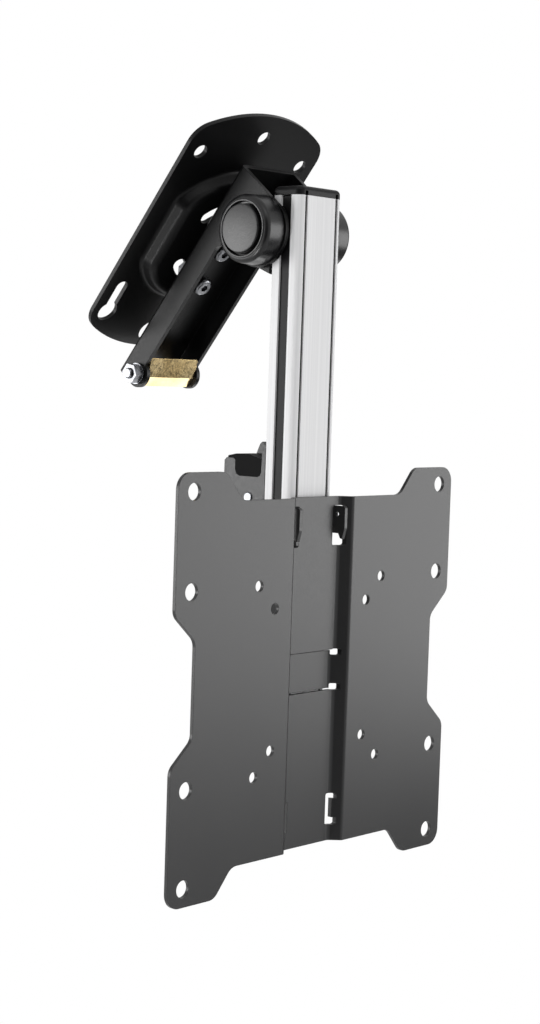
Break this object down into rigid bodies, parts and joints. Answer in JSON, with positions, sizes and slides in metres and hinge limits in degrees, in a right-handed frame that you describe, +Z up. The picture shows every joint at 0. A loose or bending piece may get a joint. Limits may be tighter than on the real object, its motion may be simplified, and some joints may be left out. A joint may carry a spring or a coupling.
{
  "type": "tv ceiling mount",
  "caption": "Folding ceiling mount for a flat screen: sheet-metal screen plate on an extruded arm, hinged in a channel under a round swivel plate.",
  "frame": {"origin": "centre of the 200 x 200 mm screen hole pattern, on the front face of the wings", "axes": "+X to the right along the fold hinge, seen from the screen side; +Y away from the screen; +Z up"},
  "size_m": [0.2224, 0.1469, 0.409],
  "materials": {
    "grey_coat": "satin powder coat",
    "black_coat": "satin powder coat",
    "anodised": "satin anodised",
    "black_plastic": "fine matte",
    "cover_plastic": "satin",
    "zinc": "bright zinc",
    "yellow_zinc": "yellow zinc"
  },
  "bodies": {
    "plate": {"ceiling_plate": "black_coat"},
    "channel": {"channel": "black_coat", "swivel_pad": "black_plastic", "swivel_screws": "zinc", "swivel_washers": "zinc", "swivel_nuts": "zinc", "keeper": "yellow_zinc", "keeper_bolt": "zinc", "keeper_washer": "zinc", "keeper_nut": "zinc", "hinge_bolt": "zinc", "hinge_nut": "zinc", "hinge_washers": "zinc", "friction_rings": "black_plastic", "hinge_cover_left": "cover_plastic", "hinge_cover_right": "cover_plastic", "cover_cap_left": "cover_plastic", "cover_cap_right": "cover_plastic"},
    "arm": {"arm_profile": "anodised", "top_cap": "black_plastic", "bottom_cap": "black_plastic", "arm_bracket": "black_coat", "arm_nut_bar": "zinc", "arm_screws": "zinc", "latch_bracket": "grey_coat", "latch_pad": "black_plastic", "latch_nut_bar": "zinc", "latch_screws": "zinc", "latch_axle": "zinc", "latch_spacers": "black_plastic", "latch_spring": "zinc", "screen_plate": "grey_coat"},
    "hook": {"latch_hook": "grey_coat"}
  },
  "joints": [
    {"name": "swivel", "type": "hinge", "parent": "plate", "child": "channel", "pos_m": [0, 0.08794, 0.23103], "axis": [0, 0.7755, 0.6314], "range_deg": [-45, 45]},
    {"name": "fold", "type": "hinge", "parent": "channel", "child": "arm", "pos_m": [0, 0.0353, 0.2355], "axis": [1, 0, 0], "range_deg": [-70, 35]},
    {"name": "latch", "type": "hinge", "parent": "arm", "child": "hook", "pos_m": [0, 0.0404, 0.0926], "axis": [1, 0, 0], "range_deg": [0, 10], "stiffness_Nm_per_rad": 0.05, "springref_deg": -17.19}
  ]
}
